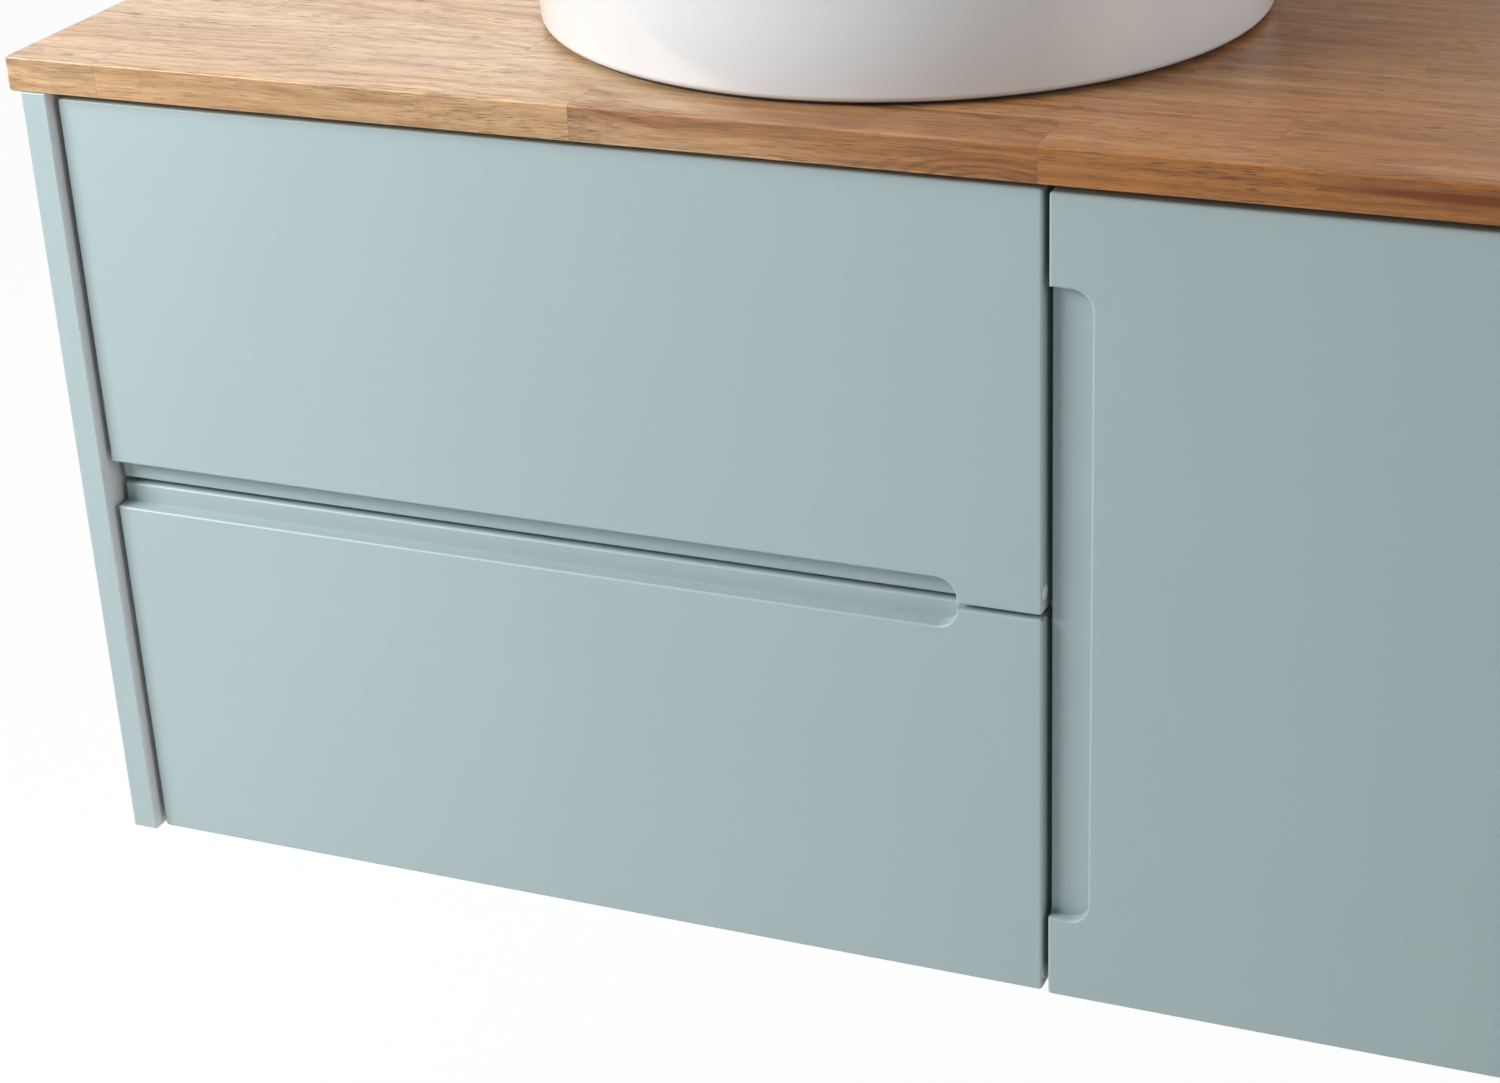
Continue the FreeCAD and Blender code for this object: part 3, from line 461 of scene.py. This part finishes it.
# ---------------------------------------------------------------- mesh building
def mesh_object(name, builder, material):
    """An object of the built mesh, shaded smooth except where it turns sharply."""
    mesh = bpy.data.meshes.new(name)
    builder.to_mesh(mesh)
    builder.free()
    mesh.materials.append(material)
    mesh.set_sharp_from_angle(angle=math.radians(30))
    for polygon in mesh.polygons:
        polygon.use_smooth = True
    made = bpy.data.objects.new(name, mesh)
    bpy.context.scene.collection.objects.link(made)
    return made


def arc(centre_r, centre_z, radius, start, end, steps):
    """Points of an arc in radius and height, between two angles in degrees."""
    angles = [math.radians(start + (end - start) * k / steps) for k in range(steps + 1)]
    return [(centre_r + radius * math.cos(a), centre_z + radius * math.sin(a)) for a in angles]


def turned(outline, steps):
    """A closed ring-like solid: the outline, in radius and height, turned about Z."""
    builder = bmesh.new()
    rings = []
    for k in range(steps):
        angle = 2 * math.pi * k / steps
        turn = (math.cos(angle), math.sin(angle))
        rings.append([builder.verts.new((r * turn[0], r * turn[1], z)) for r, z in outline])
    count = len(outline)
    for k in range(steps):
        near, far = rings[k], rings[(k + 1) % steps]
        for i in range(count):
            j = (i + 1) % count
            builder.faces.new((near[i], far[i], far[j], near[j]))
    bmesh.ops.recalc_face_normals(builder, faces=builder.faces)
    return builder


def basin_piece(glazed, rubber):
    """The basin: straight wall, half-round rim, coved bowl that falls to the drain."""
    radius = (BASIN_HIGH.x - BASIN_LOW.x) / 2
    height = BASIN_HIGH.z - BASIN_LOW.z
    rim = BASIN_WALL / 2
    bowl = radius - BASIN_WALL
    foot = radius - BASIN_FOOT_SETBACK
    outline = [(foot - 0.001, 0.0), (foot, 0.001), (foot, BASIN_FOOT_GAP)]
    outline += arc(radius - BASIN_FOOT_ROUND, BASIN_FOOT_ROUND + BASIN_FOOT_GAP,
                   BASIN_FOOT_ROUND, -90, 0, 10)
    outline += arc(radius - rim, height - rim, rim, 0, 180, 14)
    outline += arc(bowl - BASIN_BOWL_ROUND, BASIN_FLOOR + BASIN_BOWL_ROUND, BASIN_BOWL_ROUND,
                   0, -90, 20)
    middle = ((bowl - BASIN_BOWL_ROUND + FLANGE_SEAT) / 2, (BASIN_FLOOR + BASIN_DRAIN_FLOOR) / 2)
    outline += [middle, (FLANGE_SEAT + 0.0015, BASIN_DRAIN_FLOOR),
                (FLANGE_SEAT, BASIN_DRAIN_FLOOR - 0.0008),
                (FLANGE_SEAT, BASIN_DRAIN_FLOOR - FLANGE_STEP),
                (DRAIN_HOLE, BASIN_DRAIN_FLOOR - FLANGE_STEP), (DRAIN_HOLE, 0.0)]
    builder = turned(outline, BASIN_STEPS)
    centre = (BASIN_LOW + BASIN_HIGH) / 2
    bmesh.ops.translate(builder, verts=builder.verts, vec=(centre.x, centre.y, BASIN_LOW.z))
    piece = mesh_object("basin_body", builder, glazed)
    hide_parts("basin")
    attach(piece, "carcass")

    # A dark ring under the basin's foot: painted shade, a dark sheet standing in for the shadow in
    # the gap round the foot, seen as a thin line.
    inner, outer = foot + 0.001, radius - BASIN_FOOT_ROUND - BASIN_SHADE_RING_SETBACK
    edge = BASIN_FOOT_GAP / 4
    outline = [(inner, 0.0), (outer - edge, 0.0), (outer, edge), (outer, BASIN_FOOT_GAP - edge),
               (outer - edge, BASIN_FOOT_GAP), (inner, BASIN_FOOT_GAP)]
    builder = turned(outline, BASIN_STEPS)
    bmesh.ops.translate(builder, verts=builder.verts, vec=(centre.x, centre.y, BASIN_LOW.z))
    foot_shade_ring = mesh_object("basin_bead", builder, rubber)
    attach(foot_shade_ring, "carcass")


def islands(node):
    """The separate solids of a CAD node, each as its lowest and highest corner."""
    builder = bmesh.new()
    builder.from_mesh(NODES[node].data)
    bmesh.ops.remove_doubles(builder, verts=builder.verts, dist=1e-6)
    left = set(builder.verts)
    boxes = []
    while left:
        stack = [left.pop()]
        group = list(stack)
        while stack:
            for edge in stack.pop().link_edges:
                for vert in edge.verts:
                    if vert in left:
                        left.remove(vert)
                        stack.append(vert)
                        group.append(vert)
        low = Vector([min(v.co[k] for v in group) for k in range(3)])
        high = Vector([max(v.co[k] for v in group) for k in range(3)])
        boxes.append((low, high))
    builder.free()
    return sorted(boxes, key=lambda pair: tuple(round(c, 5) for c in pair[0]))


def link_sockets(tree, *pairs):
    for source, target in pairs:
        tree.links.new(source, target)


def repeat_tree():
    """Places a unit piece at every point of a mesh, its Z turned to the point's own facing."""
    tree = bpy.data.node_groups.new("repeat_on_points", "GeometryNodeTree")
    made = tree.interface.new_socket
    made("Geometry", in_out="INPUT", socket_type="NodeSocketGeometry")
    made("Unit", in_out="INPUT", socket_type="NodeSocketObject")
    made("Finish", in_out="INPUT", socket_type="NodeSocketMaterial")
    made("Geometry", in_out="OUTPUT", socket_type="NodeSocketGeometry")
    add = tree.nodes.new
    start, end = add("NodeGroupInput"), add("NodeGroupOutput")
    unit = add("GeometryNodeObjectInfo")
    facing = add("GeometryNodeInputNamedAttribute")
    facing.data_type = "FLOAT_VECTOR"
    facing.inputs["Name"].default_value = "facing"
    turn = add("FunctionNodeAlignRotationToVector")
    turn.axis = "Z"
    place = add("GeometryNodeInstanceOnPoints")
    real = add("GeometryNodeRealizeInstances")
    finish = add("GeometryNodeSetMaterial")
    link_sockets(tree, (start.outputs["Unit"], unit.inputs["Object"]),
                 (facing.outputs["Attribute"], turn.inputs["Vector"]),
                 (start.outputs["Geometry"], place.inputs["Points"]),
                 (unit.outputs["Geometry"], place.inputs["Instance"]),
                 (turn.outputs["Rotation"], place.inputs["Rotation"]),
                 (place.outputs["Instances"], real.inputs["Geometry"]),
                 (real.outputs["Geometry"], finish.inputs["Geometry"]),
                 (start.outputs["Finish"], finish.inputs["Material"]),
                 (finish.outputs["Geometry"], end.inputs["Geometry"]))
    return tree


def applied(name, start, tree, values, smooth_angle):
    """A plain mesh object of what a node tree makes of the starting mesh."""
    holder = bpy.data.objects.new(name, start)
    bpy.context.scene.collection.objects.link(holder)
    modifier = holder.modifiers.new("shape", "NODES")
    modifier.node_group = tree
    for item in tree.interface.items_tree:
        if item.in_out == "INPUT" and item.name in values:
            modifier[item.identifier] = values[item.name]
    graph = bpy.context.evaluated_depsgraph_get()
    mesh = bpy.data.meshes.new_from_object(holder.evaluated_get(graph))
    holder.modifiers.remove(modifier)
    holder.data = mesh
    mesh.name = name
    mesh.set_sharp_from_angle(angle=math.radians(smooth_angle))
    return holder


def repeated(name, tree, unit, places, material):
    """A plain mesh of the unit at each (point, facing)."""
    points = bpy.data.meshes.new(name + "_points")
    points.from_pydata([point for point, _ in places], [], [])
    facing = points.attributes.new("facing", "FLOAT_VECTOR", "POINT")
    facing.data.foreach_set("vector", [c for _, way in places for c in way])
    return applied(name, points, tree, {"Unit": unit, "Finish": material}, 35)


def point_ring(builder, radius, height, steps):
    """A level ring of points round the Z axis."""
    return [builder.verts.new((radius * math.cos(2 * math.pi * k / steps),
                               radius * math.sin(2 * math.pi * k / steps), height))
            for k in range(steps)]


def unit_screw_head(radius, thick):
    """A domed pan head with a cross recess, its seat at the origin and its face towards +Z."""
    builder = bmesh.new()
    # The recess, in shares of the radius: its reach, half its width and the narrowing of
    # its floor; and its depth, as a share of the head's thickness.
    recess, slot, narrowing, depth = 0.52, 0.13, 0.8, 0.55
    crown = [(radius, 0.0), (radius, thick * 0.35), (radius * 0.93, thick * 0.68),
             (radius * 0.78, thick * 0.9), (radius * 0.62, thick)]
    rings = [point_ring(builder, r, z, HEAD_STEPS) for r, z in crown]
    for low, high in zip(rings, rings[1:]):
        for k in range(HEAD_STEPS):
            j = (k + 1) % HEAD_STEPS
            builder.faces.new((low[k], low[j], high[j], high[k]))
    builder.faces.new(list(reversed(rings[0])))
    cross = []
    for quarter in range(4):
        turn = Matrix.Rotation(quarter * math.pi / 2, 3, "Z")
        for x, y in ((slot, slot), (recess, slot), (recess, -slot)):
            cross.append(turn @ Vector((x * radius, -y * radius, 0)))
    cross.sort(key=lambda point: math.atan2(point.y, point.x))
    lip = [builder.verts.new((p.x, p.y, thick)) for p in cross]
    pit = [builder.verts.new((p.x * narrowing, p.y * narrowing, thick * (1 - depth)))
           for p in cross]
    count = len(cross)
    for k in range(count):
        j = (k + 1) % count
        builder.faces.new((lip[k], lip[j], pit[j], pit[k]))
    builder.faces.new(pit)
    edges = [e for e in builder.edges if e.is_boundary]
    bmesh.ops.triangle_fill(builder, edges=edges, use_beauty=True)
    bmesh.ops.recalc_face_normals(builder, faces=builder.faces)
    return builder


def shank(builder, radius, length):
    """Adds a threaded-looking shank below a head: a run of shallow V rings and a point."""
    pitch = radius * 0.9
    turns = max(2, int((length - radius * 2) / pitch))
    outline = [(radius, 0.0)]
    for k in range(turns):
        z = -(k + 0.5) * pitch
        outline += [(radius * 0.78, z), (radius, z - pitch * 0.5)]
    outline.append((radius * 0.15, -length))
    rings = [point_ring(builder, r, z, SHANK_STEPS) for r, z in outline]
    for high, low in zip(rings, rings[1:]):
        for k in range(SHANK_STEPS):
            j = (k + 1) % SHANK_STEPS
            builder.faces.new((high[k], low[k], low[j], high[j]))
    builder.faces.new(rings[0])
    builder.faces.new(list(reversed(rings[-1])))


def screw_places(node, axis, outward):
    """The seat of each screw's head and the way its face looks."""
    places = []
    for low, high in islands(node):
        seat = (low + high) / 2
        way = outward(seat) if callable(outward) else outward
        seat[axis] = (high if way[axis] > 0 else low)[axis]
        places.append((seat, way))
    return places


def inward_x(seat):
    """Runner screws face the drawer bay from the side panel and from the partition."""
    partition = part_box("centre_partition")[0]
    return Vector((1, 0, 0)) if seat.x < (PANEL_HIGH.x + partition.x) / 2 else Vector((-1, 0, 0))


def screws(material, tree):
    """Cross-recess pan-head screws in place of the plain CAD ones."""
    groups = [("upper_front_screws", "upper_drawer", 1, Vector((0, 1, 0))),
              ("lower_front_screws", "lower_drawer", 1, Vector((0, 1, 0))),
              ("bench_screws", "carcass", 2, Vector((0, 0, -1))),
              ("runner_screws", "carcass", 0, inward_x),
              ("hinge_door_screws", "door", 0, Vector((1, 0, 0))),
              ("hinge_cabinet_screws", "carcass", 0, Vector((-1, 0, 0)))]
    for node, body, axis, outward in groups:
        low, high = islands(node)[0]
        radius = min(high - low) / 2
        length = max(high - low)
        thick = HINGE_SCREW_HEAD if node.startswith("hinge") else SCREW_HEAD
        builder = unit_screw_head(radius, thick)
        shank(builder, radius * 0.5, length - thick)
        unit = mesh_object(node + "_unit", builder, material)
        places = []
        for seat, way in screw_places(node, axis, outward):
            places.append((seat - way * thick, way))
        piece = repeated(node + "_turned", tree, unit, places, material)
        bpy.data.objects.remove(unit)
        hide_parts(node)
        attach(piece, body)


def rib_tree():
    """Ribs round a nut: a circle of points, a unit at each, turned out from the axis."""
    tree = bpy.data.node_groups.new("ribs_round_a_nut", "GeometryNodeTree")
    made = tree.interface.new_socket
    made("Geometry", in_out="INPUT", socket_type="NodeSocketGeometry")
    for name, kind in (("Count", "Int"), ("Radius", "Float"), ("Width", "Float"),
                       ("Height", "Float"), ("Length", "Float"), ("Finish", "Material")):
        made(name, in_out="INPUT", socket_type="NodeSocket" + kind)
    made("Geometry", in_out="OUTPUT", socket_type="NodeSocketGeometry")
    add = tree.nodes.new
    start, end = add("NodeGroupInput"), add("NodeGroupOutput")
    circle = add("GeometryNodeMeshCircle")
    bar = add("GeometryNodeMeshCylinder")
    bar.inputs["Vertices"].default_value = RIB_CORNERS
    size = add("ShaderNodeCombineXYZ")
    shape = add("GeometryNodeTransform")
    position = add("GeometryNodeInputPosition")
    turn = add("FunctionNodeAlignRotationToVector")
    turn.axis = "X"
    turn.pivot_axis = "Z"
    place = add("GeometryNodeInstanceOnPoints")
    real = add("GeometryNodeRealizeInstances")
    finish = add("GeometryNodeSetMaterial")
    bar.inputs["Radius"].default_value = 1.0
    bar.inputs["Depth"].default_value = 1.0
    link_sockets(tree, (start.outputs["Count"], circle.inputs["Vertices"]),
                 (start.outputs["Radius"], circle.inputs["Radius"]),
                 (start.outputs["Height"], size.inputs[0]),
                 (start.outputs["Width"], size.inputs[1]),
                 (start.outputs["Length"], size.inputs[2]),
                 (bar.outputs["Mesh"], shape.inputs["Geometry"]),
                 (size.outputs[0], shape.inputs["Scale"]),
                 (position.outputs[0], turn.inputs["Vector"]),
                 (circle.outputs["Mesh"], place.inputs["Points"]),
                 (shape.outputs["Geometry"], place.inputs["Instance"]),
                 (turn.outputs["Rotation"], place.inputs["Rotation"]),
                 (place.outputs["Instances"], real.inputs["Geometry"]),
                 (real.outputs["Geometry"], finish.inputs["Geometry"]),
                 (start.outputs["Finish"], finish.inputs["Material"]),
                 (finish.outputs["Geometry"], end.inputs["Geometry"]))
    return tree


def ribs(node, tree, axis, count, material):
    """Grip ribs on the outside of a round nut or cup, over part of its length."""
    low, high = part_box(node)
    across = [k for k in range(3) if k != axis]
    radius = (high[across[0]] - low[across[0]]) / 2
    length = (high[axis] - low[axis]) * RIB_SHARE
    name = node + "_ribs"
    values = {"Count": count, "Radius": radius, "Width": RIB_WIDTH, "Height": RIB_HEIGHT,
              "Length": length, "Finish": material}
    holder = applied(name, bpy.data.meshes.new(name), tree, values, 50)
    mesh = holder.data
    if axis == 1:
        mesh.transform(Matrix.Rotation(math.pi / 2, 4, "X"))
    mesh.transform(Matrix.Translation((low + high) / 2))
    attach(holder, "carcass")


def edge_caps(material):
    """Small domed caps, each with a ring and a dimple, on the drawer fronts' right edges."""
    for level in ("upper", "lower"):
        node = level + "_front_cap"
        low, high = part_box(node)
        radius = (high.z - low.z) / 2
        depth = high.x - low.x
        outline = [(CAP_POLE, 0.0), (radius * 0.96, 0.0), (radius, depth * 0.1),
                   (radius, depth * 0.90), (radius * 0.9, depth * 0.98), (radius * 0.62, depth),
                   (radius * 0.52, depth * 0.93), (radius * 0.40, depth * 0.91),
                   (radius * 0.30, depth * 0.97), (CAP_POLE, depth * 0.99)]
        builder = turned(outline, CAP_STEPS)
        bmesh.ops.rotate(builder, verts=builder.verts, cent=(0, 0, 0),
                         matrix=Matrix.Rotation(math.pi / 2, 3, "Y"))
        middle = (low + high) / 2
        bmesh.ops.translate(builder, verts=builder.verts, vec=(low.x, middle.y, middle.z))
        piece = mesh_object(level + "_edge_cap", builder, material)
        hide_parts(node)
        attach(piece, level + "_drawer")


# ---------------------------------------------------------------- stage, light and camera
def floor_and_backdrop():
    """One wide pale floor that the camera sees as almost white, out to the horizon."""
    finish = Finish("pale_floor")
    finish.set(Base_Color=srgb(0.93, 0.93, 0.93), Roughness=0.8)
    glow = finish.tree.nodes.new("ShaderNodeEmission")
    glow.inputs["Color"].default_value = WHITE
    path = finish.tree.nodes.new("ShaderNodeLightPath")
    seen = Value(finish, path.outputs["Is Camera Ray"]) * FLOOR_GLOW
    mixer = finish.tree.nodes.new("ShaderNodeMixShader")
    finish.put(mixer.inputs[0], seen)
    link_sockets(finish.tree, (finish.shader.outputs[0], mixer.inputs[1]),
                 (glow.outputs[0], mixer.inputs[2]), (mixer.outputs[0], finish.output.inputs[0]))
    builder = bmesh.new()
    bmesh.ops.create_grid(builder, x_segments=1, y_segments=1, size=FLOOR_SIZE / 2)
    bmesh.ops.translate(builder, verts=builder.verts, vec=(0, 0, PANEL_LOW.z - FLOOR_DROP))
    mesh_object("floor", builder, finish.material)


def studio_world():
    """White to the camera and through glass, and a dim room to every other ray."""
    world = bpy.data.worlds.new("studio")
    bpy.context.scene.world = world
    world.use_nodes = True
    nodes = world.node_tree.nodes
    nodes.clear()
    output = nodes.new("ShaderNodeOutputWorld")
    room, white = nodes.new("ShaderNodeBackground"), nodes.new("ShaderNodeBackground")
    room.inputs["Color"].default_value = ROOM_COLOUR
    room.inputs["Strength"].default_value = ROOM_STRENGTH
    white.inputs["Color"].default_value = WHITE
    path, mixer = nodes.new("ShaderNodeLightPath"), nodes.new("ShaderNodeMixShader")
    either = nodes.new("ShaderNodeMath")
    either.operation = "MAXIMUM"
    link_sockets(world.node_tree, (path.outputs["Is Camera Ray"], either.inputs[0]),
                 (path.outputs["Is Transmission Ray"], either.inputs[1]),
                 (either.outputs[0], mixer.inputs[0]), (room.outputs[0], mixer.inputs[1]),
                 (white.outputs[0], mixer.inputs[2]), (mixer.outputs[0], output.inputs[0]))


def softbox(name, place, target, size, power, colour):
    """A rectangular area light at a place, turned to face a target."""
    light = bpy.data.lights.new(name, "AREA")
    light.shape = "RECTANGLE"
    light.size, light.size_y = size
    light.energy = power
    light.color = colour
    lamp = bpy.data.objects.new(name, light)
    lamp.location = place
    lamp.rotation_euler = (Vector(target) - Vector(place)).to_track_quat("-Z", "Y").to_euler()
    bpy.context.scene.collection.objects.link(lamp)


def lights():
    """A key at the left and front, a fill at the right, one above, and sheen from behind."""
    for name, settings in SOFTBOXES.items():
        softbox(name, *settings)


def camera():
    """Seen from the right and above, looking down and to the left."""
    yaw, pitch, roll = (math.radians(a) for a in (CAMERA_YAW, CAMERA_PITCH, CAMERA_ROLL))
    data = bpy.data.cameras.new("camera")
    data.lens, data.sensor_width = CAMERA_LENS, CAMERA_SENSOR
    data.shift_x, data.shift_y = CAMERA_SHIFT
    data.clip_start = CAMERA_NEAR
    view = bpy.data.objects.new("camera", data)
    turn = Matrix.Rotation(-yaw, 4, "Z") @ Matrix.Rotation(math.pi / 2 + pitch, 4, "X")
    view.matrix_world = (Matrix.Translation(CAMERA_PLACE) @ turn
                         @ Matrix.Rotation(roll, 4, "Z"))
    bpy.context.scene.collection.objects.link(view)
    bpy.context.scene.camera = view


# ---------------------------------------------------------------- the whole
def dress_frame(materials):
    """Gives every CAD node the finish of its slot."""
    for entry in frame["record"]["subparts"]:
        node = NODES[entry["node"]]
        for slot in node.material_slots:
            slot.material = materials[entry["material_slot"]]


def main():
    materials = finishes()
    dress_frame(materials)
    basin_piece(materials["ceramic"], materials["seal_rubber"])
    tree = repeat_tree()
    screws(materials["screw_steel"], tree)
    edge_caps(materials["front_cap"])
    nuts = rib_tree()
    ribs("trap_inlet_nut", nuts, 2, 28, materials["waste_plastic"])
    ribs("trap_cup", nuts, 2, 32, materials["waste_plastic"])
    ribs("trap_outlet_nut", nuts, 1, 28, materials["waste_plastic"])
    floor_and_backdrop()
    studio_world()
    lights()
    camera()
    bpy.context.scene.view_settings.view_transform = "Standard"


main()
